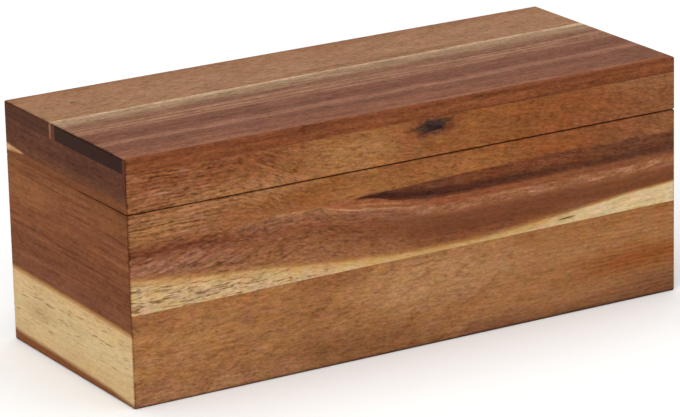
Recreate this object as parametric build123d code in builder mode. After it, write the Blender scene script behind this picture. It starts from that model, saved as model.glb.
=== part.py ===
from build123d import *
from math import radians, sin, tan
import os

# Wooden tea box with a hinged lid, in millimetres. The origin is the middle of the underside, +X runs along the
# front, +Y to the back and +Z up. Like the real one it is glued up closed from mitred boards, and the lid is then
# sawn off, so that the boards of the lid and of the box below it line up.

# The closed box
length = 300.0
depth = 121.0
height = 118.5
edge_round = 1.0

# The boards
wall = 7.5
top_thickness = 7.5

# The lid, and the saw cut below it, which gapes a little more at the front than at the hinges
lid_height = 26.5
gap_front = 0.55
gap_back = 0.1
rim_round = 0.35

# The glue lines of the walls. They slant, so each has a height above the ground at both ends of its wall.
front_glue_left = 44.5
front_glue_right = 46.2
back_glue_left = 51.5
back_glue_right = 50.0
right_glue_front = 38.0
right_glue_back = 39.5

# The left end's glue line lies in the lid, just above the rim of the box
left_glue_rise_front = 5.0
left_glue_rise_back = 3.4

# The glue line of the top, measured back from the front face
top_glue_left = 74.7
top_glue_right = 79.0

# The bottom, glued flush in a rebate
base_thickness = 5.0
base_rebate = 4.0
base_clearance = 0.1

# The dividers, which stand in stopped grooves in the front and back walls
divider_count = 2
divider_thickness = 5.0
divider_drop = 10.0
divider_round = 0.6
groove_depth = 2.5
groove_clearance = 0.1

# The brass stop hinges
hinge_inset = 55.0
leaf_thickness = 1.2
leaf_width = 6.3
mortise_clearance = 0.1
knuckle_length = 6.0
knuckle_radius = 1.6
knuckle_gap = 0.15
knuckle_clearance = 0.2
pin_radius = 0.8
pin_chamfer = 0.2
bore_clearance = 0.03
heel_length = 4.0
heel_reach = 3.2
heel_angle = 51.0

# The hinge screws
screw_spacing = 16.0
screw_inset = 3.4
screw_length = 9.0
screw_tip = 1.0
screw_clearance = 0.03
head_radius = 1.65
countersink_angle = 90.0
thread_radius = 0.85
thread_root = 0.6
thread_count = 8
slot_width = 0.45
slot_depth = 0.45

# How far a cut runs on past the wood
beyond = 10.0

# Places that follow from the sizes above
front_y = -depth / 2
back_y = depth / 2
left_x = -length / 2
right_x = length / 2
inner_x = length / 2 - wall
inner_y = depth / 2 - wall
rim_z = height - lid_height
lid_front_z = rim_z + gap_front
lid_back_z = rim_z + gap_back
top_underside = height - top_thickness
divider_top = rim_z - divider_drop
compartment = (2 * inner_x - divider_count * divider_thickness) / (divider_count + 1)
divider_xs = [
    -inner_x + (n + 1) * compartment + (n + 0.5) * divider_thickness for n in range(divider_count)
]
hinge_xs = {"left": left_x + hinge_inset, "right": right_x - hinge_inset}
hinge_length = 3 * knuckle_length + 2 * (knuckle_gap + heel_length)
axis_y = back_y + knuckle_radius + knuckle_clearance
axis_z = rim_z + gap_back / 2


def box_between(low, high, mode=Mode.ADD):
    """Add or cut a block between two corners in the part that is being built."""
    size = [b - a for a, b in zip(low, high)]
    with Locations(tuple((a + b) / 2 for a, b in zip(low, high))):
        Box(*size, mode=mode)


def ease_rim(rim_face):
    """Round the outer edges of a sawn face, and chamfer its inner ones, which meet in square corners."""
    inner_edges = rim_face.inner_wires()[0].edges()
    fillet(rim_face.outer_wire().edges(), rim_round)
    chamfer(inner_edges, rim_round)


def hinge_mortises(bottom, top):
    """Cut the seats of the hinge leaves, between two heights, in from the back face."""
    for x in hinge_xs.values():
        half = hinge_length / 2 + mortise_clearance
        box_between(
            (x - half, back_y - leaf_width - mortise_clearance, bottom),
            (x + half, back_y + beyond, top),
            mode=Mode.SUBTRACT,
        )


def screw_places(x, face_z):
    """The middles of the heads of a leaf's two screws."""
    return [(x + side * screw_spacing / 2, back_y - screw_inset, face_z) for side in (-1, 1)]


def pilot_holes(face_z, align_z):
    """Drill for the screws of both hinges, downwards with Align.MAX or upwards with Align.MIN."""
    for x in hinge_xs.values():
        with Locations(*screw_places(x, face_z)):
            Cylinder(
                thread_radius + screw_clearance,
                screw_length + screw_clearance,
                align=(Align.CENTER, Align.CENTER, align_z),
                mode=Mode.SUBTRACT,
            )


# The closed block that the boards make, with its outside edges eased
with BuildPart() as block:
    Box(length, depth, height, align=(Align.CENTER, Align.CENTER, Align.MIN))
    fillet(block.edges(), edge_round)

# All the wood below the saw cut, before it is parted into boards
with BuildPart() as body_wood:
    add(block.part)
    box_between(
        (left_x - beyond, front_y - beyond, rim_z),
        (right_x + beyond, back_y + beyond, height + beyond),
        mode=Mode.SUBTRACT,
    )
    box_between((-inner_x, -inner_y, -beyond), (inner_x, inner_y, height), mode=Mode.SUBTRACT)
    ease_rim(body_wood.faces().sort_by(Axis.Z)[-1])
    # Rebate for the bottom
    box_between(
        (-inner_x - base_rebate, -inner_y - base_rebate, -beyond),
        (inner_x + base_rebate, inner_y + base_rebate, base_thickness),
        mode=Mode.SUBTRACT,
    )
    # Grooves for the dividers, open downwards into the rebate
    groove_half = divider_thickness / 2 + groove_clearance
    for x in divider_xs:
        box_between(
            (x - groove_half, -inner_y - groove_depth, 0),
            (x + groove_half, inner_y + groove_depth, divider_top),
            mode=Mode.SUBTRACT,
        )
    hinge_mortises(rim_z - leaf_thickness, height)
    pilot_holes(rim_z, Align.MAX)

# All the wood above the saw cut, with the hollow of the lid
with BuildPart() as lid_wood:
    add(block.part)
    with BuildSketch(Plane.YZ):
        with BuildLine():
            slant = (gap_front - gap_back) / depth * beyond
            Polyline(
                (front_y - beyond, -beyond),
                (front_y - beyond, lid_front_z + slant),
                (back_y + beyond, lid_back_z - slant),
                (back_y + beyond, -beyond),
                close=True,
            )
        make_face()
    extrude(amount=length, both=True, mode=Mode.SUBTRACT)
    box_between((-inner_x, -inner_y, 0), (inner_x, inner_y, top_underside), mode=Mode.SUBTRACT)
    ease_rim(lid_wood.faces().sort_by(Axis.Z)[0])
    hinge_mortises(0, lid_back_z + leaf_thickness)
    pilot_holes(lid_back_z, Align.MIN)


def wall_outline(side):
    """The corners in plan of one wall, which ends in mitres at 45 degrees and runs a little into the hollow."""
    run = wall + beyond
    if side in ("front", "back"):
        y, inner = (front_y, front_y + run) if side == "front" else (back_y, back_y - run)
        return [(left_x, y), (right_x, y), (right_x - run, inner), (left_x + run, inner)]
    x, inner = (left_x, left_x + run) if side == "left" else (right_x, right_x - run)
    return [(x, front_y), (x, back_y), (inner, back_y - run), (inner, front_y + run)]


def wall_board(wood, side, bottom, top):
    """One board of a wall. bottom and top are the heights of its edges at the wall's two ends, -X or -Y first."""
    along_x = side in ("front", "back")
    half = length / 2 if along_x else depth / 2
    with BuildPart() as board:
        add(wood.part)
        with BuildSketch():
            with BuildLine():
                Polyline(*wall_outline(side), close=True)
            make_face()
        extrude(amount=height, mode=Mode.INTERSECT)
        with BuildSketch(Plane.XZ if along_x else Plane.YZ):
            with BuildLine():
                Polyline((-half, bottom[0]), (half, bottom[1]), (half, top[1]), (-half, top[0]), close=True)
            make_face()
        extrude(amount=length, both=True, mode=Mode.INTERSECT)
    return board


def top_board(front_edge, back_edge):
    """One board of the top. Its edges are distances back from the front face, at the left and the right end."""
    with BuildPart() as board:
        add(lid_wood.part)
        with BuildSketch(Plane.XY.offset(top_underside)):
            with BuildLine():
                Polyline(
                    (left_x, front_y + front_edge[0]),
                    (right_x, front_y + front_edge[1]),
                    (right_x, front_y + back_edge[1]),
                    (left_x, front_y + back_edge[0]),
                    close=True,
                )
            make_face()
        extrude(amount=top_thickness, mode=Mode.INTERSECT)
    return board


ground = (0, 0)
rim = (rim_z, rim_z)
under_top = (top_underside, top_underside)
front_glue = (front_glue_left, front_glue_right)
back_glue = (back_glue_left, back_glue_right)
right_glue = (right_glue_front, right_glue_back)
left_glue = (rim_z + left_glue_rise_front, rim_z + left_glue_rise_back)
top_glue = (top_glue_left, top_glue_right)

pieces = {
    "body_front_lower_board": wall_board(body_wood, "front", ground, front_glue),
    "body_front_upper_board": wall_board(body_wood, "front", front_glue, rim),
    "body_back_lower_board": wall_board(body_wood, "back", ground, back_glue),
    "body_back_upper_board": wall_board(body_wood, "back", back_glue, rim),
    "body_left_board": wall_board(body_wood, "left", ground, rim),
    "body_right_lower_board": wall_board(body_wood, "right", ground, right_glue),
    "body_right_upper_board": wall_board(body_wood, "right", right_glue, rim),
    "lid_front_rail": wall_board(lid_wood, "front", rim, under_top),
    "lid_back_rail": wall_board(lid_wood, "back", rim, under_top),
    "lid_right_rail": wall_board(lid_wood, "right", rim, under_top),
    "lid_left_lower_rail": wall_board(lid_wood, "left", rim, left_glue),
    "lid_left_upper_rail": wall_board(lid_wood, "left", left_glue, under_top),
    "lid_top_front_board": top_board((0, 0), top_glue),
    "lid_top_back_board": top_board(top_glue, (depth, depth)),
}

# The bottom panel, flush with the lower edges of the walls
with BuildPart() as base_panel:
    Box(
        2 * (inner_x + base_rebate - base_clearance),
        2 * (inner_y + base_rebate - base_clearance),
        base_thickness,
        align=(Align.CENTER, Align.CENTER, Align.MIN),
    )
pieces["base_panel"] = base_panel

# The dividers stand on the bottom panel, numbered from the left
divider_y = inner_y + groove_depth - groove_clearance
for number, x in enumerate(divider_xs, start=1):
    with BuildPart() as divider:
        box_between(
            (x - divider_thickness / 2, -divider_y, base_thickness),
            (x + divider_thickness / 2, divider_y, divider_top),
        )
        fillet(divider.faces().sort_by(Axis.Z)[-1].edges().filter_by(Axis.Y), divider_round)
    pieces[f"divider_{number}"] = divider

# Each hinge has a leaf on the box with the two outer knuckles and a leaf on the lid with the middle one. Both have
# a heel at each end, behind the pin. The heels meet when the lid is a little past upright, and that stops it.
inner_knuckle = knuckle_length / 2
outer_knuckle = inner_knuckle + knuckle_length
middle_knuckles = [(-inner_knuckle, inner_knuckle)]
outer_knuckles = [(-outer_knuckle, -inner_knuckle - knuckle_gap), (inner_knuckle + knuckle_gap, outer_knuckle)]
heel_starts = (-hinge_length / 2, hinge_length / 2 - heel_length)


def rod(x, start, end, radius, mode=Mode.ADD):
    """Add or cut a cylinder round the hinge axis, between two places measured along it from the hinge's middle."""
    with Locations(Location((x + (start + end) / 2, axis_y, axis_z), (0, 90, 0))):
        Cylinder(radius, end - start, mode=mode)


def heel_outline(up):
    """The corners of a heel seen from the hinge's end. Its slanting side is the face that stops the lid."""
    near_z = gap_back / 2
    far_z = heel_reach * sin(radians(heel_angle))
    return [
        (back_y, axis_z + up * near_z),
        (axis_y + near_z / tan(radians(heel_angle)), axis_z + up * near_z),
        (axis_y + far_z / tan(radians(heel_angle)), axis_z + up * far_z),
        (back_y, axis_z + up * far_z),
    ]


def leaf(x, up):
    """One leaf of the hinge at x. up is 1 for the lid's leaf and -1 for the box's."""
    own, other = (middle_knuckles, outer_knuckles) if up > 0 else (outer_knuckles, middle_knuckles)
    face_z = axis_z + up * gap_back / 2
    low_z, high_z = sorted((face_z, face_z + up * leaf_thickness))
    with BuildPart() as plate:
        box_between(
            (x - hinge_length / 2, back_y - leaf_width, low_z),
            (x + hinge_length / 2, axis_y, high_z),
        )
        for start, end in other:
            rod(x, start - knuckle_gap, end + knuckle_gap, knuckle_radius + knuckle_clearance, Mode.SUBTRACT)
        for start in heel_starts:
            with BuildSketch(Plane.YZ.offset(x + start)):
                with BuildLine():
                    Polyline(*heel_outline(up), close=True)
                make_face()
            extrude(amount=heel_length)
        for start, end in own:
            rod(x, start, end, knuckle_radius)
        rod(x, -hinge_length / 2, hinge_length / 2, pin_radius + bore_clearance, Mode.SUBTRACT)
        for place in screw_places(x, face_z):
            with Locations(Plane(origin=place, x_dir=(1, 0, 0), z_dir=(0, 0, -up))):
                CounterSinkHole(
                    thread_radius + screw_clearance,
                    head_radius + screw_clearance,
                    counter_sink_angle=countersink_angle,
                )
    return plate


def screws(x, up):
    """The two countersunk wood screws of one leaf, with slotted heads and ridged shanks."""
    head_depth = (head_radius - thread_radius) / tan(radians(countersink_angle / 2))
    pitch = (screw_length - screw_tip - head_depth) / thread_count
    profile = [(0, 0), (head_radius, 0), (thread_radius, head_depth)]
    for n in range(thread_count):
        start = head_depth + n * pitch
        profile += [(thread_root, start + pitch / 2), (thread_radius, start + pitch)]
    profile.append((0, screw_length))
    with BuildPart() as pair:
        for place in screw_places(x, axis_z + up * gap_back / 2):
            with BuildSketch(Plane(origin=place, x_dir=(1, 0, 0), z_dir=(0, -1, 0))):
                with BuildLine():
                    Polyline(*[(radius, up * along) for radius, along in profile], close=True)
                make_face()
            revolve(axis=Axis(place, (0, 0, 1)))
            with Locations(place):
                Box(2 * head_radius, slot_width, 2 * slot_depth, mode=Mode.SUBTRACT)
    return pair


def pin(x):
    """The hinge pin, which runs through the knuckles and the heels."""
    with BuildPart() as rivet:
        rod(x, -hinge_length / 2, hinge_length / 2, pin_radius)
        chamfer(rivet.edges().filter_by(GeomType.CIRCLE), pin_chamfer)
    return rivet


for side, x in hinge_xs.items():
    pieces[f"{side}_hinge_body_leaf"] = leaf(x, -1)
    pieces[f"{side}_hinge_lid_leaf"] = leaf(x, 1)
    pieces[f"{side}_hinge_body_screws"] = screws(x, -1)
    pieces[f"{side}_hinge_lid_screws"] = screws(x, 1)
    pieces[f"{side}_hinge_pin"] = pin(x)

os.makedirs("parts", exist_ok=True)
for name, piece in pieces.items():
    piece.part.label = name
    export_step(piece.part, f"parts/{name}.step")

print("The lid turns about y", round(axis_y, 3), "z", round(axis_z, 3), "and stops at", 2 * heel_angle, "degrees")
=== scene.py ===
"""The wooden tea box: mitred acacia boards with a sawn-off lid on two brass stop hinges.

Every board keeps its CAD shape and gets a wood of its own, solid through the board, so that the figure
runs over the edges and on across the lid gap. Places inside a board are in millimetres: x from the left
end of the box, y from its front face and z from the floor, all with the lid closed.
"""

import math

import bmesh
import bpy
from mathutils import Matrix, Vector


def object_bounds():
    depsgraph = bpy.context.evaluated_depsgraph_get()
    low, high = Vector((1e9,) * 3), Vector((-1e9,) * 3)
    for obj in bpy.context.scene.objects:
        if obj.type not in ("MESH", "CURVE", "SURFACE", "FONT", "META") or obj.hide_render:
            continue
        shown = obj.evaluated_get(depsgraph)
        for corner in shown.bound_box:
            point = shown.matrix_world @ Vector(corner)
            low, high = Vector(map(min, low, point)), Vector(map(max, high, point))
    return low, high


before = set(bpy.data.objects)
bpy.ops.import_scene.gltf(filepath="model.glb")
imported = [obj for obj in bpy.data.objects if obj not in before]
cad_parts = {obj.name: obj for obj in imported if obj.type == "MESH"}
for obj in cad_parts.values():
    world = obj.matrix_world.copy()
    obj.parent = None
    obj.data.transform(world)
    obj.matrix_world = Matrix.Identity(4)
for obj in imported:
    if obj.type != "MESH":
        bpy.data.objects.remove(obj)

CAD_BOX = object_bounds()

# Millimetres in a metre
MM = 1000

# Which inputs of a mix node take its share and its two colours, and which output gives the colour
MIX_INPUTS = (0, 6, 7)
MIX_OUTPUT = 2

# The closed box in mm, from the frame. The hinge knuckles stick out behind, so its depth is twice the
# way from the middle to the front face
LENGTH = round((CAD_BOX[1].x - CAD_BOX[0].x) * MM, 1)
DEPTH = round(CAD_BOX[0].y * -2 * MM, 1)
HEIGHT = round(CAD_BOX[1].z * MM, 1)

# How far the glue line of the top lies behind the front face, at its left and right ends, in mm
TOP_GLUE_LEFT = 74.7
TOP_GLUE_RIGHT = 79.0

# The middle of the lid gap on the front and on the left end, in mm
GAP_FRONT = 92.3
GAP_LEFT = 92.1

# The middle of the knot on the lid's front, in mm
KNOT_X = 161.8
KNOT_Z = 107

# The middle of the small brown speck on the top's back board, in mm
SPECK_X = 24.5
SPECK_Y = 97.8

# The camera, where the photograph was taken from: metres, degrees and millimetres
CAMERA_PLACE = (-0.94288, -1.59147, 0.62864)
CAMERA_HEADING = -30.55
CAMERA_DOWN = 17.27
CAMERA_ROLL = -1.402
CAMERA_LENS = 213.42
CAMERA_SENSOR = 36.0

# The soft lamps: name, place and size in metres, and power in watts
LAMPS = [
    ("key", (-1.75, -2.0, 1.9), 2.0, 39),
    ("fill", (2.2, -2.2, 1.4), 2.0, 8),
    ("overhead", (0.0, 0.2, 2.8), 2.4, 32),
]
LAMP_AIM = (0, 0, 0.06)
WHITE = (1.0, 1.0, 1.0, 1.0)
ROOM_BRIGHTNESS = 0.57
FLOOR_RADIUS = 12.0


def rgb(red, green, blue):
    """A colour as a screen shows it, 0 to 255, turned into the linear colour that shaders take."""
    linear = []
    for part in (red, green, blue):
        part /= 255
        linear.append(part / 12.92 if part <= 0.04045 else ((part + 0.055) / 1.055) ** 2.4)
    return (*linear, 1.0)


# Fields: numbers, places and colours that vary through a board


class Field:
    """One output of a shader node. Fields add, subtract, multiply and divide like numbers."""

    def __init__(self, socket):
        self.socket = socket
        self.tree = socket.id_data

    def __add__(self, other):
        return calculate("ADD", self, other)

    def __sub__(self, other):
        return calculate("SUBTRACT", self, other)

    def __rsub__(self, other):
        return calculate("SUBTRACT", other, self)

    def __mul__(self, other):
        return calculate("MULTIPLY", self, other)

    def __truediv__(self, other):
        return calculate("DIVIDE", self, other)

    def __abs__(self):
        return calculate("ABSOLUTE", self)


def feed(socket, value):
    """Links a field to a node's input, or sets the input to a fixed value."""
    if isinstance(value, Field):
        value.tree.links.new(value.socket, socket)
    else:
        socket.default_value = value


def tree_of(*values):
    """The node tree that the fields among these values belong to."""
    return next(value.tree for value in values if isinstance(value, Field))


def combine(node_type, *values):
    """A new node with these values as its first inputs."""
    node = tree_of(*values).nodes.new(node_type)
    for socket, value in zip(node.inputs, values):
        feed(socket, value)
    return node


def calculate(operation, *values):
    """A number worked out from others, which may be fields."""
    node = combine("ShaderNodeMath", *values)
    node.operation = operation
    return Field(node.outputs[0])


def calculate_parts(operation, *values):
    """A place or colour worked out from others, each of its three parts from theirs."""
    node = combine("ShaderNodeVectorMath", *values)
    node.operation = operation
    return Field(node.outputs[0])


def least(*values):
    """The smallest of two or more fields."""
    first, second, *rest = values
    smaller = calculate("MINIMUM", first, second)
    return least(smaller, *rest) if rest else smaller


def most(*values):
    """The largest of two or more fields."""
    first, second, *rest = values
    larger = calculate("MAXIMUM", first, second)
    return most(larger, *rest) if rest else larger


def place(along, across, deep):
    """The point of a board that is this far along its grain, across its face and into its thickness."""
    return Field(combine("ShaderNodeCombineXYZ", along, across, deep).outputs[0])


def noise(point, sizes, seed, detail=1.0, roughness=0.5):
    """Smooth variation between about -1 and 1, in patches of these sizes (along, across, deep).

    The seed moves the point, so that no two textures look alike.
    """
    scales = [1 / size for size in sizes]
    shift = (seed * 3.7, seed * 7.3, seed * 5.1)
    node = point.tree.nodes.new("ShaderNodeTexNoise")
    feed(node.inputs["Vector"], calculate_parts("MULTIPLY_ADD", point, scales, shift))
    node.inputs["Scale"].default_value = 1.0
    node.inputs["Detail"].default_value = detail
    node.inputs["Roughness"].default_value = roughness
    return (Field(node.outputs["Fac"]) - 0.5) * 3.0


def spread(value, start, end, kind="LINEAR"):
    """0 up to start, 1 from end on, and even between. Start may lie above end."""
    node = value.tree.nodes.new("ShaderNodeMapRange")
    node.interpolation_type = kind
    feed(node.inputs["Value"], value)
    feed(node.inputs["From Min"], start)
    feed(node.inputs["From Max"], end)
    return Field(node.outputs["Result"])


def smooth(value, start, end):
    """0 up to start, 1 from end on, with a soft step between. Start may lie above end."""
    return spread(value, start, end, "SMOOTHSTEP")


def band(value, low, high, soft):
    """1 between low and high and 0 outside, with soft edges."""
    return smooth(value, low - soft, low + soft) * smooth(value, high + soft, high - soft)


def curve(value, *points):
    """A smooth line through (value, result) points, level outside them."""
    starts, results = zip(*points)
    first, run = starts[0], starts[-1] - starts[0]
    low, rise = min(results), max(results) - min(results)
    node = value.tree.nodes.new("ShaderNodeFloatCurve")
    line = node.mapping.curves[0]
    spots = [((start - first) / run, (result - low) / rise) for start, result in points]
    line.points[0].location = spots[0]
    line.points[1].location = spots[-1]
    for spot in spots[1:-1]:
        line.points.new(*spot)
    for point in line.points:
        point.handle_type = "AUTO_CLAMPED"
    node.mapping.update()
    feed(node.inputs["Value"], spread(value, first, first + run))
    return Field(node.outputs["Value"]) * rise + low


def ramp(value, *stops):
    """Colours that change with value, from (value, colour) stops."""
    first, run = stops[0][0], stops[-1][0] - stops[0][0]
    node = value.tree.nodes.new("ShaderNodeValToRGB")
    node.color_ramp.interpolation = "EASE"
    elements = node.color_ramp.elements
    for start, colour in stops[1:-1]:
        elements.new((start - first) / run)
    for element, (start, colour) in zip(elements, stops):
        element.color = colour
    feed(node.inputs["Fac"], (value - first) / run)
    return Field(node.outputs["Color"])


def mix(under, over, share):
    """The colour under, painted over with the colour over by share, 0 to 1."""
    node = tree_of(under, over, share).nodes.new("ShaderNodeMix")
    node.data_type = "RGBA"
    share_input, under_input, over_input = (node.inputs[number] for number in MIX_INPUTS)
    feed(share_input, share)
    feed(under_input, under)
    feed(over_input, over)
    return Field(node.outputs[MIX_OUTPUT])


def parts_of(tree, node_type, output):
    """The three parts of one output of a new node."""
    parts = tree.nodes.new("ShaderNodeSeparateXYZ")
    tree.links.new(tree.nodes.new(node_type).outputs[output], parts.inputs[0])
    return [Field(socket) for socket in parts.outputs]


# Wood


def new_material(name):
    """A new material and its shader."""
    material = bpy.data.materials.new(name)
    material.use_nodes = True
    return material, material.node_tree.nodes["Principled BSDF"]


def box_place(tree):
    """x, y and z of a point, in mm, measured with the lid closed."""
    x, y, z = parts_of(tree, "ShaderNodeTexCoord", "Object")
    return x * MM + LENGTH / 2, y * MM + DEPTH / 2, z * MM


def end_grain(tree):
    """1 on the sawn ends of a board that runs along x, and 0 on its faces and edges."""
    facing_x = parts_of(tree, "ShaderNodeNewGeometry", "True Normal")[0]
    return smooth(abs(facing_x), 0.6, 0.8)


def arris(x, y, z):
    """1 along the outer edges of the box and 0 off them: the mask of the painted shade on the rounded
    edges, which also darkens the mitre joints at the corners.

    The top's front edge is left out. A point is on an edge where two of its three ways out are short.
    """
    from_ends = least(x, LENGTH - x)
    from_faces = least(y, DEPTH - y)
    from_top = HEIGHT - z + smooth(y, 12, 4) * 20
    from_flats = least(z, from_top)
    near = least(from_ends, from_faces, from_flats)
    far = most(from_ends, from_faces, from_flats)
    return smooth(from_ends + from_faces + from_flats - near - far, 1.3, 0.2)


def patched(colour, point, amount):
    """The colour with small patches of redder and of more golden wood in it."""
    red = noise(point, (8, 5, 5), 3, 3, 0.6) * amount
    gold = noise(point, (7, 4, 4), 5, 3, 0.65) * amount
    shares = place(red * 0.08 + 1, red * -0.08 + 1, gold * -0.32 - red * 0.06 + 1)
    return calculate_parts("MULTIPLY", colour, shares)


def tone(colour, amount):
    """The colour made darker and redder where amount is below 0, lighter and paler above."""
    response = (0.88, 1.0, 1.12)
    gain = calculate_parts("MULTIPLY_ADD", place(amount, amount, amount), response, (1.0, 1.0, 1.0))
    return calculate_parts("MULTIPLY", colour, gain)


def wood(name, figure, patches):
    """A board's material.

    figure(x, y, z) gives its colour and its grain, the light and dark of the fibres around 0; on the
    front's upper board the grain also holds painted shade along the lid gap, on the left end painted
    light.
    """
    darkest = -0.7
    edge_shade_strength = 0.45
    material, shader = new_material(name)
    x, y, z = box_place(material.node_tree)
    colour, grain = figure(x, y, z)
    colour = patched(colour, place(x, y, z), patches)
    # Painted shade darkens the outer edges of the box, and with them the mitre joints at the corners
    lightness = most(grain, darkest) - arris(x, y, z) * edge_shade_strength
    feed(shader.inputs["Base Color"], tone(colour, lightness))
    feed(shader.inputs["Roughness"], grain * -0.12 + 0.5)
    shader.inputs["Specular IOR Level"].default_value = 0.04
    bump = material.node_tree.nodes.new("ShaderNodeBump")
    bump.inputs["Strength"].default_value = 0.35
    bump.inputs["Distance"].default_value = 0.0002
    feed(bump.inputs["Height"], grain)
    feed(shader.inputs["Normal"], Field(bump.outputs[0]))
    return material


def streaks(point, sizes, seed, level):
    """Ragged strokes along the grain, 1 on a stroke and 0 off it. A higher level leaves fewer of them."""
    return smooth(noise(point, sizes, seed, 2, 0.6), level, level + 0.35)


def ripples(across, spacing):
    """Even lines across the grain, from -1 to 1 and back in each spacing."""
    return calculate("SINE", across * (2 * math.pi / spacing))


def blot(x, z, at, half):
    """1 in the middle of a soft oval patch on a face, and 0 beyond it. half is half its size each way."""
    along, across = (x - at[0]) / half[0], (z - at[1]) / half[1]
    return smooth(along * along + across * across, 1.0, 0.0)


def blotched(colour, x, z, *blots):
    """The colour with soft oval patches over it, each a (colour, middle, half size, strength)."""
    for tint, at, half, strength in blots:
        colour = mix(colour, tint, blot(x, z, at, half) * strength)
    return colour


def fibres(point, seed, threads=0.6, lines=0.22, pores=0.2, mottle=0.1):
    """The tone of the grain: fine threads, growth lines, pores and the soft mottle across them."""
    fine = noise(point, (5, 1.4, 1.4), seed, 3, 0.8)
    speckle = noise(point, (1.9, 0.7, 0.7), seed + 4)
    growth = noise(point, (26, 1.7, 1.7), seed + 1, 2)
    vessels = streaks(point, (5, 0.9, 1.2), seed + 2, 0.3)
    patches = noise(point, (13, 7, 7), seed + 3)
    threaded = fine * threads + speckle * (threads * 0.5)
    return threaded + growth * lines + patches * mottle - vessels * pores


def turned(x, z, y, degrees):
    """The place in a board's face after turning its grain by degrees, rising to the right."""
    run, rise = math.cos(math.radians(degrees)), math.sin(math.radians(degrees))
    return place(x * run + z * rise, z * run - x * rise, y)


# The front's upper board and the lid's front rail


def front_heart(x, wavy, plain):
    """Golden brown, redder along the top at the left and more golden below the lid there."""
    colour = ramp(
        x + noise(plain, (30, 12, 12), 13) * 10,
        (0, rgb(137, 87, 56)), (60, rgb(139, 87, 52)), (115, rgb(147, 96, 55)),
        (150, rgb(140, 87, 49)), (185, rgb(135, 81, 42)), (235, rgb(134, 77, 40)),
        (265, rgb(131, 77, 45)), (300, rgb(132, 83, 51)),
    )
    colour = mix(colour, rgb(150, 104, 66), band(wavy, 79, 92, 3) * smooth(x, 60, 20) * 0.6)
    colour = mix(colour, rgb(122, 68, 39), smooth(wavy, 97, 107) * smooth(x, 110, 60) * 0.75)
    colour = blotched(
        colour, x, wavy,
        (rgb(161, 112, 68), (118, 99), (32, 10), 0.6),
        (rgb(126, 74, 37), (100, 86), (40, 9), 0.7),
        (rgb(157, 110, 70), (60, 92.5), (52, 7), 0.5),
        (rgb(146, 97, 62), (287, 110), (34, 7), 0.6),
        (rgb(159, 104, 58), (180, 84.5), (42, 6), 0.4),
        (rgb(161, 106, 58), (112, 84), (22, 5), 0.4),
        (rgb(124, 72, 40), (290, 97), (44, 9), 0.3),
    )
    pinks = smooth(noise(plain, (16, 2.6, 4), 14, 2), 0.1, 0.9)
    return mix(colour, rgb(165, 114, 88), pinks * smooth(x, 75, 30) * 0.45)


def front_wedge(colour, x, wavy, plain):
    """The dark wedge, crisp along its top, near black in its core and soft to the right."""
    top = curve(
        x, (0, 77.6), (75, 78.2), (118, 79.3), (140, 80), (160, 80.5), (200, 81.5), (230, 82), (300, 82),
    )
    foot = curve(
        x, (0, 77.6), (118, 79.2), (128, 78), (136, 75.8), (143, 74.2), (152, 73), (165, 72), (200, 71.2),
        (300, 72),
    )
    soft = curve(x, (118, 0.3), (200, 0.5), (240, 0.9), (300, 1.3))
    between = ramp(
        x, (75, rgb(140, 88, 54)), (120, rgb(146, 86, 54)), (160, rgb(136, 78, 50)),
        (300, rgb(128, 76, 48)),
    )
    colour = mix(colour, between, smooth(wavy, top + soft, top - soft))
    brown = ramp(
        x, (118, rgb(84, 46, 28)), (150, rgb(96, 54, 33)), (190, rgb(108, 59, 33)),
        (230, rgb(110, 61, 36)), (275, rgb(100, 58, 37)), (300, rgb(96, 56, 37)),
    )
    mottle = smooth(noise(plain, (9, 1.7, 4), 24, 3, 0.6), 0.0, 0.9)
    brown = mix(brown, rgb(132, 84, 61), mottle * 0.55)
    colour = mix(colour, brown, band(wavy, foot, top, soft) * smooth(x, 115, 122))
    core = curve(
        x, (118, 79.2), (130, 78.6), (138, 77.6), (147, 76.2), (160, 74.7), (260, 73.6), (275, 74.4),
        (300, 75),
    )
    half = curve(x, (118, 0.3), (130, 1.2), (150, 2.0), (215, 2.0), (260, 1.5), (300, 1.8))
    black = ramp(
        x, (140, rgb(60, 31, 24)), (190, rgb(74, 39, 26)), (235, rgb(82, 45, 28)),
        (300, rgb(90, 52, 34)),
    )
    shadow = smooth(abs(wavy - core), half * 1.8, half * 0.2) * smooth(x, 116, 122)
    return mix(colour, black, shadow * 0.92)


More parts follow.
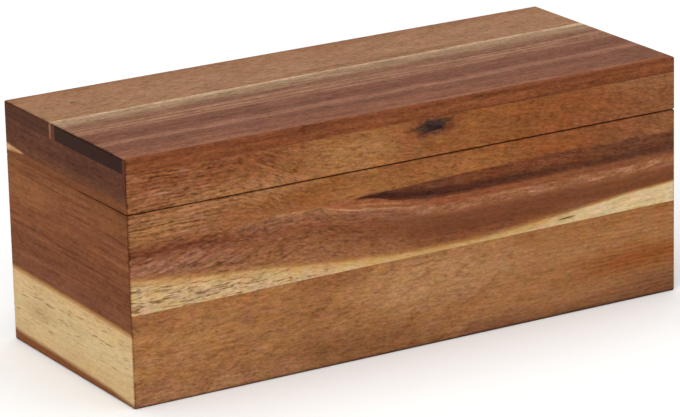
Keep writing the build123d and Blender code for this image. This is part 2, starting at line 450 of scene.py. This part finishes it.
def front_brown(x, y, z, depth):
    """The wood under the pale line, by its depth below it: dark red at the left, brown to the right."""
    left = ramp(
        depth, (0, rgb(136, 86, 54)), (1.8, rgb(122, 72, 46)), (4.5, rgb(114, 62, 39)),
        (7, rgb(122, 72, 48)), (9.5, rgb(138, 88, 62)), (14, rgb(140, 93, 66)), (18, rgb(138, 90, 61)),
    )
    pinks = smooth(noise(turned(x, z, y, 14), (7, 1.6, 4), 16, 2), 0.0, 0.9) * smooth(depth, 5, 9)
    left = mix(left, rgb(171, 122, 96), pinks * 0.6)
    middle = ramp(
        depth, (0, rgb(146, 96, 67)), (4, rgb(134, 85, 58)), (8, rgb(126, 75, 47)),
        (12, rgb(130, 80, 50)), (17, rgb(138, 89, 57)), (24, rgb(142, 93, 61)),
    )
    middle = mix(middle, rgb(118, 69, 41), smooth(x, 95, 130) * band(depth, 5, 16, 3) * 0.6)
    right = ramp(
        depth, (-4.5, rgb(100, 54, 33)), (-2.5, rgb(114, 64, 39)), (-1, rgb(130, 76, 47)),
        (0.8, rgb(142, 89, 58)), (2.5, rgb(144, 93, 62)), (4.5, rgb(132, 80, 52)), (7, rgb(115, 67, 41)),
        (13, rgb(110, 62, 36)), (17, rgb(122, 72, 45)),
    )
    clouds = noise(place(x, z - x * 0.06, y), (12, 2.3, 4), 17, 3, 0.7)
    layer = band(depth, -1.0, 4.2, 1.2)
    right = mix(right, rgb(179, 130, 98), smooth(clouds, -0.15, 0.75) * layer * 0.95)
    right = mix(right, rgb(108, 62, 37), smooth(clouds, -0.1, -0.8) * layer * 0.5)
    right = mix(right, rgb(146, 95, 64), smooth(depth, 10, 15) * band(x, 232, 290, 12) * 0.35)
    return mix(mix(left, middle, smooth(x, 25, 80)), right, smooth(x, 130, 170))


def front_pale_line(colour, x, depth, plain):
    """The ragged pale line between the heart and the brown wood, and a short second one over it."""
    ragged = noise(plain, (9, 4, 4), 18, 2) * 0.5 + 0.75
    fuzzy = depth + noise(plain, (5, 2, 2), 19) * 0.35
    strength = curve(x, (68, 0), (84, 0.5), (106, 0.5), (116, 1.0), (140, 0.95), (152, 0.65), (164, 0))
    first = smooth(abs(fuzzy + 0.2), 0.85, 0.0) * strength
    second = smooth(abs(fuzzy + 2.4), 1.0, 0.0) * band(x, 120, 146, 5)
    return mix(colour, rgb(185, 134, 94), most(first, second * 0.7) * ragged)


def front_sapwood(colour, x, y, z, drift):
    """The cream sapwood along the glue line, golden along its upper edge.

    It returns the colour, and how far a point lies within the sapwood, 0 to 1.
    """
    border = curve(
        x, (0, 62.1), (20, 59.8), (45, 57.3), (68, 55.4), (85, 53.4), (100, 51.8), (120, 50.2),
        (147, 48.6), (175, 48.4), (200, 49.2), (230, 51.3), (253, 53.2), (283, 56), (300, 57),
    )
    edge = border - z - drift * 0.6
    cream = ramp(
        edge, (-2, rgb(136, 86, 50)), (0, rgb(161, 112, 64)), (2, rgb(187, 146, 93)),
        (4.5, rgb(195, 159, 112)), (9, rgb(195, 161, 118)),
    )
    cream = mix(cream, rgb(206, 179, 136), smooth(x, 215, 255) * smooth(edge, 0.3, 1.6) * 0.9)
    bend = noise(place(x, z, y), (16, 5, 5), 40) * 0.6
    level = curve(x, (0, 0.05), (60, 0.07), (110, 0.3), (150, 0.6), (300, 0.7))
    flecks = streaks(place(x, z - x * 0.03 + bend, y), (6.5, 0.9, 3), 45, level)
    cream = mix(cream, rgb(112, 76, 39), flecks * smooth(edge, 1.5, 4.5) * 0.85)
    threads = streaks(place(x, z - x * 0.045, y), (22, 0.8, 3), 44, 0.15)
    cream = mix(cream, rgb(153, 120, 68), threads * smooth(x, 225, 245) * 0.65)
    cream = mix(cream, rgb(106, 74, 44), blot(x, z - x * 0.06, (236.5, 34.4), (7, 0.6)))
    soft = curve(x, (0, 1.6), (120, 1.4), (150, 2.2), (200, 2.2), (225, 1.4), (250, 0.7), (300, 0.5))
    inside = smooth(edge, soft * -1.3, soft)
    return mix(colour, cream, inside), inside


def front_knot(colour, x, z, plain):
    """The small dark knot of the lid, with a tail on either side.

    It returns the colour, and a point's distance from the middle of the knot in knot radii.
    """
    across = (z - KNOT_Z + noise(plain, (5, 2.4, 2), 21, 2) * 1.3) / 4.3
    along = (x - KNOT_X + noise(plain, (6, 3, 3), 22, 2) * 2.5) / 11.5
    reach = calculate("SQRT", along * along + across * across)
    colour = mix(colour, rgb(112, 62, 37), smooth(reach, 1.7, 0.9) * 0.7)
    colour = blotched(
        colour, x, z,
        (rgb(100, 54, 36), (156, 103.2), (5, 2.4), 0.6),
        (rgb(66, 39, 32), (168, 108.6), (6.5, 1.8), 0.7),
        (rgb(74, 44, 34), (153.5, 107), (5, 1.6), 0.6),
    )
    dark = ramp(
        noise(plain, (6, 1.0, 1.5), 23, 2),
        (-0.6, rgb(35, 20, 24)), (0, rgb(52, 34, 31)), (0.6, rgb(74, 56, 39)),
    )
    return mix(colour, dark, smooth(reach, 1.1, 0.4)), reach


def grain_over_line(x, y, z, waves, reach):
    """The grain of the heart: level at the left, falling to the right and bent around the knot."""
    plain = place(x, z, y)
    slope = curve(x, (0, 0), (45, 0), (95, -14), (160, -20.5), (230, -29), (300, -41))
    around = (z - KNOT_Z) * smooth(reach, 3.0, 0.8) * 0.5
    threads = curve(x, (0, 0.8), (70, 0.8), (110, 0.62), (300, 0.58))
    grain = fibres(place(x, z + waves - slope - around, y), 31, threads=threads)
    swell = noise(plain, (24, 7, 7), 36) * 1.6 + noise(plain, (7, 3, 3), 35) * 0.4
    rippled = (noise(plain, (14, 4, 4), 37) + 1) * smooth(x, 75, 30)
    grain += ripples(z + swell, 1.9) * rippled * 0.2
    lines = noise(place(x, z + waves * 0.6, y), (24, 1.1, 3), 58, 3, 0.7)
    grain += lines * band(z, 79, 91, 1.5) * smooth(x, 60, 25) * 0.5
    rising = noise(turned(x, z, y, 33), (24, 3.2, 8), 38)
    grain += rising * band(z, 96, 113, 3) * smooth(x, 115, 70) * 0.25
    steep = noise(turned(x, z, y, 72), (15, 3, 8), 33)
    return grain + steep * smooth(x, 145, 175) * 0.12


def grain_under_line(x, y, z, waves, line, depth):
    """The grain of the brown wood, which runs along the pale line over it."""
    threads = curve(x, (0, 0.7), (80, 0.8), (130, 0.6), (300, 0.6))
    grain = fibres(place(x, z + waves * 0.6 - line, y), 41, threads=threads)
    grain += noise(turned(x, z, y, 12), (8, 1.4, 4), 42, 2) * smooth(x, 100, 50) * 0.5
    layers = noise(place(x, depth, y), (40, 0.9, 3), 43)
    grain += layers * band(depth, 1, 7, 1) * band(x, 90, 150, 12) * 0.35
    return grain * (1 - band(depth, 4, 15, 2) * smooth(x, 120, 160) * 0.5)


def front_upper(x, y, z):
    """Golden brown heart over a dark wedge and brown wood, with sapwood along the glue line."""
    plain = place(x, z, y)
    drift = noise(plain, (60, 40, 20), 11) * 0.8 + noise(plain, (14, 18, 6), 12) * 0.35
    wavy = z + drift

    # The colours, with line the height of the pale line and depth how far below it a point lies
    line = curve(
        x, (0, 77.6), (75, 77.9), (95, 77.9), (106, 76), (113, 74.6), (121, 73.5), (138, 71.1),
        (153, 69.1), (175, 68.2), (250, 68), (300, 70),
    )
    depth = line - wavy
    colour = front_wedge(front_heart(x, wavy, plain), x, wavy, plain)
    colour = mix(colour, front_brown(x, y, z, depth), smooth(depth, -0.8, 0.8))
    colour = front_pale_line(colour, x, depth, plain)
    colour, inside = front_sapwood(colour, x, y, z, drift)
    colour, reach = front_knot(colour, x, z, plain)

    # The grain, with fine lines in the wedge and painted shade along the lips of the lid gap
    waves = noise(plain, (11, 5, 5), 34) * 0.9
    above = grain_over_line(x, y, z, waves, reach)
    below = grain_under_line(x, y, z, waves, line, depth)
    grain = above + (below - above) * smooth(depth, -6, 2)
    dusk = noise(place(x, z - x * 0.01, y), (14, 1.1, 3), 39, 3, 0.7)
    dusk *= band(wavy, 73, 82, 1) * smooth(x, 140, 170) * 0.35
    # Painted shade along the lid gap, to make it darker than its shadow alone
    gap_shade = smooth(abs(z - GAP_FRONT), 0.8, 0.3) * smooth(y, 3, 1)
    return colour, grain * (1 - inside * 0.5) + dusk - gap_shade * 0.3


# The front's lower board


def front_lower(x, y, z):
    """Golden brown and mottled, with a red-orange patch near the right end and painted shadow along its
    foot.
    """
    plain = place(x, z, y)
    drift = noise(plain, (50, 14, 14), 46) * 2
    wavy = z + drift
    colour = ramp(
        wavy, (0, rgb(135, 89, 57)), (6, rgb(146, 98, 63)), (15, rgb(152, 103, 64)),
        (34, rgb(155, 105, 64)), (46, rgb(151, 99, 59)),
    )
    colour = mix(colour, rgb(166, 119, 73), smooth(noise(plain, (34, 12, 14), 47), 0.1, 1) * 0.6)
    colour = mix(colour, rgb(137, 87, 59), smooth(noise(plain, (18, 9, 9), 49), 0.2, 1) * 0.5)
    colour = blotched(
        colour, x, wavy,
        (rgb(168, 123, 83), (162, 32), (60, 17), 0.7),
        (rgb(123, 79, 46), (115, 8), (62, 14), 0.6),
        (rgb(133, 83, 48), (110, 41), (26, 7), 0.5),
    )
    colour = blotched(
        colour, x, z,
        (rgb(127, 81, 48), (82, 26), (34, 14), 0.3),
        (rgb(127, 81, 50), (6, 41), (22, 7), 0.45),
    )
    colour = mix(colour, rgb(162, 115, 79), smooth(z, 10, 3) * smooth(x, 125, 60) * 0.5)
    colour = mix(colour, rgb(113, 71, 44), smooth(x, 130, 190) * smooth(z, 9, 1) * 0.6)
    colour = mix(colour, rgb(109, 67, 40), smooth(x, 240, 305) * smooth(z, 34, 4) * 0.7)
    patch = band(wavy, 16, 27, 5) * smooth(x, 222, 268)
    corner = smooth(z, 40, 46) * smooth(x, 280, 296) * 0.6
    colour = mix(colour, rgb(135, 74, 33), (patch + corner) * 0.85)
    # Painted shadow along the foot of the front, where it meets the floor
    foot = smooth(z, 1.8, 0.4) * smooth(y, 3, 1) * curve(x, (0, 0.5), (150, 0.7), (300, 0.85))
    colour = mix(colour, rgb(63, 40, 33), foot)

    # The grain, wavy at the left and level at the right end
    waves = noise(plain, (11, 5, 5), 56) * smooth(x, 240, 180) * 0.9
    threads = curve(x, (0, 0.62), (180, 0.5), (240, 0.4), (300, 0.4))
    grain = fibres(place(x, z + waves, y), 48, threads=threads, lines=0.18)
    ribbon = noise(turned(x, z, y, 38), (22, 4.5, 8), 55) * smooth(x, 230, 180) * 0.16
    level_lines = ripples(z + waves + noise(plain, (30, 8, 8), 57), 2.1) * smooth(x, 220, 260) * 0.1
    return colour, grain + ribbon + level_lines


# The left end


def left_sapwood(colour, x, y, z, drift):
    """The cream sapwood at the foot of the left end.

    It returns the colour, and how far a point lies within the sapwood, 0 to 1.
    """
    border = y / DEPTH * 1.8 + 36
    edge = border - z - drift * 0.5
    cream = ramp(
        edge, (-1.6, rgb(131, 78, 31)), (0.8, rgb(176, 129, 76)), (2.8, rgb(205, 171, 122)),
        (16, rgb(206, 178, 131)), (30, rgb(203, 171, 122)),
    )
    flecks = streaks(place(y, z + y * 0.03, x), (13, 1.2, 6), 54, 0.22) * band(z, 13, 33, 3)
    cream = mix(cream, rgb(138, 98, 51), flecks * 0.8)
    cream = mix(cream, rgb(180, 144, 94), blot(y, z, (93, 21), (22, 6)) * 0.5)
    inside = smooth(edge, -1.6, 1.2)
    return mix(colour, cream, inside), inside


def sap_sliver(colour, y, z):
    """The colour with the pale sliver over it that tapers forward from the back of the lid's left end."""
    half = curve(y, (101, 0.1), (112, 1.0), (121, 1.9))
    middle = 96.5
    sliver = smooth(abs(z - middle), half + 0.5, half - 0.6) * smooth(y, 101, 105)
    return mix(colour, rgb(182, 135, 92), sliver)


def left_lower(x, y, z):
    """The left end and the lower rail of the lid over it: red-brown above cream sapwood."""
    plain = place(y, z, x)
    drift = noise(plain, (60, 20, 20), 51) * 0.7
    wavy = z + drift
    colour = ramp(
        wavy, (36, rgb(116, 66, 32)), (40, rgb(116, 67, 40)), (50, rgb(114, 63, 32)),
        (64, rgb(124, 70, 35)), (76, rgb(122, 69, 34)), (86, rgb(128, 75, 38)),
        (92, rgb(118, 67, 32)), (98, rgb(113, 63, 31)),
    )
    streak = noise(plain, (70, 1.6, 1.6), 56, 2)
    streaky = band(wavy, 44, 92, 3) * 0.7
    colour = mix(colour, rgb(87, 41, 19), smooth(streak, 0.0, 0.9) * streaky)
    colour = mix(colour, rgb(150, 94, 56), smooth(streak, -0.1, -0.9) * streaky)
    colour = mix(colour, rgb(150, 94, 55), blot(y, wavy, (112, 78), (50, 8)) * 0.45)
    colour = mix(colour, rgb(101, 51, 17), band(wavy, 62.5, 65.5, 1.6) * smooth(y, 96, 60) * 0.45)
    colour = mix(colour, rgb(96, 50, 14), band(z, 90.5, 93.5, 2.5) * (smooth(y, 50, 80) * 0.25 + 0.35))
    colour = mix(colour, rgb(98, 51, 19), band(wavy, 84, 92, 3) * smooth(y, 36, 10) * 0.4)
    colour, inside = left_sapwood(colour, x, y, z, drift)
    foot = curve(y, (0, 1.1), (20, 2.3), (40, 3.3), (60, 3.9), (90, 4.5), (121, 5.6))
    over = z + drift * 0.4 + noise(plain, (26, 4, 4), 57, 2) * 0.7 - foot
    colour = mix(colour, rgb(127, 73, 35), smooth(over, 2.0, -1.2))
    colour = sap_sliver(colour, y, z)
    grain = fibres(plain, 52, threads=0.4, lines=0.25) * (1 - inside * 0.5)
    # Painted light along the lid gap toward the back, which takes out the gap's shade there
    gap_painted_light = smooth(y, 42, 56) * smooth(abs(z - GAP_LEFT), 0.8, 0.2) * 0.75
    return colour, grain + gap_painted_light


def left_upper(x, y, z):
    """The upper rail of the lid's left end: dark purple-brown, lighter down at the glue line."""
    plain = place(y, z, x)
    wavy = z + noise(plain, (50, 6, 6), 61) * 1.5
    colour = ramp(
        wavy, (95, rgb(114, 63, 32)), (98.5, rgb(96, 54, 29)), (103, rgb(85, 44, 23)),
        (111, rgb(89, 48, 27)),
    )
    return sap_sliver(colour, y, z), fibres(plain, 62, threads=0.5, lines=0.3, mottle=0.16)


# The top


def top_glue(x):
    """How far behind the front face the top's glue line runs."""
    return x * (TOP_GLUE_RIGHT - TOP_GLUE_LEFT) / LENGTH + TOP_GLUE_LEFT


def top_stripes(x, y, drift):
    """Purple-brown stripes along the top, rising to the right."""
    lift = curve(x, (0, 0.2), (180, 0.2), (240, 1.2), (300, 4))
    dip = curve(x, (0, 2.4), (180, 0)) * smooth(y, 41, 50)
    wavy = y + drift - (lift - dip)
    colour = ramp(
        wavy, (0, rgb(137, 80, 49)), (3, rgb(138, 89, 65)), (7, rgb(125, 78, 55)),
        (12, rgb(129, 81, 59)), (19, rgb(116, 72, 52)), (23, rgb(120, 75, 55)), (25, rgb(141, 96, 73)),
        (28, rgb(137, 92, 68)), (30.5, rgb(121, 76, 58)), (34, rgb(115, 71, 52)),
        (42, rgb(117, 73, 54)), (45.5, rgb(124, 80, 60)), (47.5, rgb(145, 103, 76)),
        (49.5, rgb(129, 86, 64)), (52, rgb(153, 110, 82)), (54, rgb(131, 88, 65)),
        (56, rgb(151, 109, 82)), (58.5, rgb(128, 86, 64)), (79, rgb(135, 95, 71)),
    )
    return mix(colour, rgb(114, 71, 51), smooth(x, 225, 275) * band(y, 4, 19, 2) * 0.8), wavy


def top_front(x, y, z):
    """The lid's front board: purple-brown stripes, a pale glue line and a red-brown front edge."""
    plain = place(x, y, z)
    colour, wavy = top_stripes(x, y, noise(plain, (90, 18, 18), 71) * 0.9)
    from_glue = top_glue(x) - y
    stretch = curve(x, (0, 0.55), (120, 0.8), (200, 1))
    fade = ramp(
        from_glue * stretch + noise(plain, (30, 6, 6), 75) * 0.8,
        (0, rgb(201, 165, 132)), (1.4, rgb(184, 151, 120)), (3, rgb(157, 126, 97)),
        (7, rgb(146, 114, 86)), (12, rgb(141, 106, 79)), (16, rgb(133, 93, 68)),
    )
    colour = mix(colour, fade, smooth(from_glue, 15, 9))
    front = ramp(
        z + noise(plain, (60, 10, 1.2), 72, 2) * 1.6,
        (110, rgb(122, 68, 40)), (112.5, rgb(120, 66, 38)), (114.5, rgb(128, 73, 42)),
        (116.5, rgb(112, 61, 35)), (119, rgb(122, 67, 39)),
    )
    front = mix(front, rgb(88, 48, 28), smooth(z, 112.6, 111.2) * smooth(x, 120, 220) * 0.6)
    colour = mix(colour, front, smooth(y, 2.4, 0.6))
    ends = end_grain(x.tree)
    dark = ramp(y, (1, rgb(92, 48, 27)), (4, rgb(44, 14, 5)), (68, rgb(47, 19, 8)), (70, rgb(92, 51, 31)))
    dark = mix(dark, rgb(152, 103, 69), band(y, 72.8, 74.4, 0.4) * (smooth(z, 111, 117) * 0.4 + 0.6))
    colour = mix(colour, dark, ends)
    streak = noise(plain, (45, 1.8, 1.8), 76, 2) * (smooth(wavy, 46, 50) * 0.15 + 0.22)
    grain = fibres(plain, 73, threads=0.6, mottle=0.16) * (1 - ends * 0.5)
    return colour, grain + streak * (1 - ends)


def top_back(x, y, z):
    """The lid's back board: plain light tan-brown."""
    plain = place(x, y, z)
    colour = ramp(
        y + noise(plain, (60, 16, 16), 81) * 3, (72, rgb(147, 106, 74)), (90, rgb(151, 110, 79)),
        (110, rgb(149, 107, 75)), (121, rgb(141, 97, 66)),
    )
    patches = noise(plain, (12, 10, 9), 85, 2)
    colour = mix(colour, rgb(143, 104, 59), smooth(patches, 0.1, 0.9) * 0.5)
    colour = mix(colour, rgb(153, 99, 75), smooth(patches, -0.1, -0.9) * 0.4)
    behind = y - top_glue(x)
    colour = mix(colour, rgb(127, 86, 54), band(behind, 2, 6, 1.5) * band(x, 140, 235, 30) * 0.6)
    colour = mix(colour, rgb(183, 149, 118), smooth(behind, 1.5, 0.4) * smooth(x, 195, 235) * 0.85)
    along, across = x - SPECK_X, y - SPECK_Y
    speck = smooth(along * along + across * across, 2.2, 0.6)
    colour = mix(colour, rgb(99, 59, 27), speck * 0.8)
    ends = end_grain(x.tree)
    colour = mix(colour, rgb(77, 40, 19), ends)
    rings = noise(place(y, z, x), (40, 1.4, 6), 86, 2) * ends * 0.3
    grain = fibres(plain, 82, threads=0.6, lines=0.12, mottle=0.16) * (1 - ends * 0.5)
    return colour, grain + rings


# The boards that the photograph doesn't show


def even_board(point, across, sizes, seed, sway, *stops):
    """A plain board: its colours change across it, and sway to and fro along the grain."""
    return ramp(across + noise(point, sizes, seed) * sway, *stops), fibres(point, seed + 1)


def right_upper(x, y, z):
    """The right end's upper board and the rail over it: red-brown."""
    return even_board(
        place(y, z, x), z, (50, 8, 8), 91, 4,
        (36, rgb(116, 69, 45)), (55, rgb(134, 83, 54)), (75, rgb(124, 75, 49)), (95, rgb(136, 87, 58)),
        (112, rgb(118, 71, 47)),
    )


def right_lower(x, y, z):
    """The right end's lower board: golden brown."""
    return even_board(
        place(y, z, x), z, (50, 12, 12), 96, 3,
        (0, rgb(140, 90, 56)), (15, rgb(158, 108, 68)), (40, rgb(150, 100, 62)),
    )


def back_upper(x, y, z):
    """The back's upper board and the lid's back rail: golden brown."""
    return even_board(
        place(x, z, y), z, (70, 14, 14), 101, 5,
        (50, rgb(134, 84, 54)), (66, rgb(152, 102, 63)), (84, rgb(142, 90, 54)), (100, rgb(156, 108, 67)),
        (112, rgb(140, 88, 54)),
    )


def back_lower(x, y, z):
    """The back's lower board: red-brown."""
    return even_board(
        place(x, z, y), z, (70, 10, 10), 106, 4,
        (0, rgb(114, 67, 44)), (16, rgb(130, 80, 53)), (30, rgb(118, 71, 47)), (52, rgb(136, 87, 58)),
    )


def base(x, y, z):
    """The bottom panel: plain light acacia with its grain along the box."""
    return even_board(
        place(x, y, z), y, (70, 16, 16), 111, 6,
        (0, rgb(158, 112, 74)), (40, rgb(172, 124, 82)), (75, rgb(160, 112, 72)),
        (121, rgb(170, 124, 84)),
    )


def divider(x, y, z):
    """The two dividers: plain light acacia with their grain from front to back."""
    return even_board(
        place(y, z, x), z, (40, 10, 10), 116, 5,
        (5, rgb(166, 118, 78)), (45, rgb(156, 108, 69)), (82, rgb(172, 126, 86)),
    )


# Metal


def metal(name, colour, dark, roughness):
    """Brushed metal, a little duller in patches."""
    material, shader = new_material(name)
    point = place(*box_place(material.node_tree))
    dull = smooth(noise(point, (5, 5, 5), 121, 3), -0.3, 1.0)
    brushed = noise(point, (6, 0.12, 0.12), 122, 1)
    feed(shader.inputs["Base Color"], mix(colour, dark, dull * 0.7))
    feed(shader.inputs["Roughness"], brushed * 0.05 + dull * 0.12 + roughness)
    shader.inputs["Metallic"].default_value = 1.0
    return material


# Which piece gets which material


BOARDS = {
    front_upper: ["body_front_upper_board", "lid_front_rail"],
    front_lower: ["body_front_lower_board"],
    left_lower: ["body_left_board", "lid_left_lower_rail"],
    left_upper: ["lid_left_upper_rail"],
    right_lower: ["body_right_lower_board"],
    right_upper: ["body_right_upper_board", "lid_right_rail"],
    back_lower: ["body_back_lower_board"],
    back_upper: ["body_back_upper_board", "lid_back_rail"],
    top_front: ["lid_top_front_board"],
    top_back: ["lid_top_back_board"],
    base: ["base_panel"],
    divider: ["divider_1", "divider_2"],
}

# How strong the patches of red and gold are on the faces where they are fainter than 1
PATCHES = {left_lower: 0.5, left_upper: 0.8, top_front: 0.6, top_back: 0.6}


def dress(material, nodes):
    """Gives the CAD nodes of these names a material."""
    for name in nodes:
        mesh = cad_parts[name].data
        mesh.materials.clear()
        mesh.materials.append(material)


def finish_boards():
    for figure, nodes in BOARDS.items():
        dress(wood("acacia_" + figure.__name__, figure, PATCHES.get(figure, 1.0)), nodes)


def finish_hinges():
    brass = metal("brass", rgb(214, 172, 96), rgb(160, 118, 58), 0.3)
    screw = metal("screw_brass", rgb(206, 160, 84), rgb(138, 98, 48), 0.26)
    for side in ("left", "right"):
        dress(brass, [side + "_hinge_body_leaf", side + "_hinge_lid_leaf"])
        dress(screw, [side + "_hinge_" + part for part in ("pin", "body_screws", "lid_screws")])


# The studio


def make_floor():
    """A plain pale floor, wide enough to fill every view."""
    mesh = bpy.data.meshes.new("floor")
    grid = bmesh.new()
    bmesh.ops.create_circle(grid, cap_ends=True, radius=FLOOR_RADIUS, segments=96)
    grid.to_mesh(mesh)
    grid.free()
    floor = bpy.data.objects.new("floor", mesh)
    bpy.context.scene.collection.objects.link(floor)
    material, shader = new_material("floor")
    shader.inputs["Base Color"].default_value = rgb(252, 252, 251)
    shader.inputs["Roughness"].default_value = 1.0
    shader.inputs["Specular IOR Level"].default_value = 0.0
    mesh.materials.append(material)


def add_lamp(name, at, size, power):
    """A large square lamp that shines at the middle of the box."""
    light = bpy.data.lights.new(name, "AREA")
    light.size = size
    light.energy = power
    lamp = bpy.data.objects.new(name, light)
    lamp.location = at
    lamp.rotation_euler = (Vector(LAMP_AIM) - Vector(at)).to_track_quat("-Z", "Y").to_euler()
    bpy.context.scene.collection.objects.link(lamp)


def light_studio():
    world = bpy.data.worlds.new("studio")
    world.use_nodes = True
    background = world.node_tree.nodes["Background"]
    background.inputs["Color"].default_value = WHITE
    background.inputs["Strength"].default_value = ROOM_BRIGHTNESS
    bpy.context.scene.world = world
    for lamp in LAMPS:
        add_lamp(*lamp)
    bpy.context.scene.view_settings.view_transform = "Standard"


def place_camera():
    data = bpy.data.cameras.new("camera")
    data.sensor_width = CAMERA_SENSOR
    data.lens = CAMERA_LENS
    data.clip_end = 100.0
    camera = bpy.data.objects.new("camera", data)
    heading = Matrix.Rotation(math.radians(CAMERA_HEADING), 4, "Z")
    down = Matrix.Rotation(math.radians(90 - CAMERA_DOWN), 4, "X")
    roll = Matrix.Rotation(math.radians(CAMERA_ROLL), 4, "Z")
    camera.matrix_world = Matrix.Translation(CAMERA_PLACE) @ heading @ down @ roll
    bpy.context.scene.collection.objects.link(camera)
    bpy.context.scene.camera = camera


place_camera()
light_studio()
make_floor()
finish_boards()
finish_hinges()
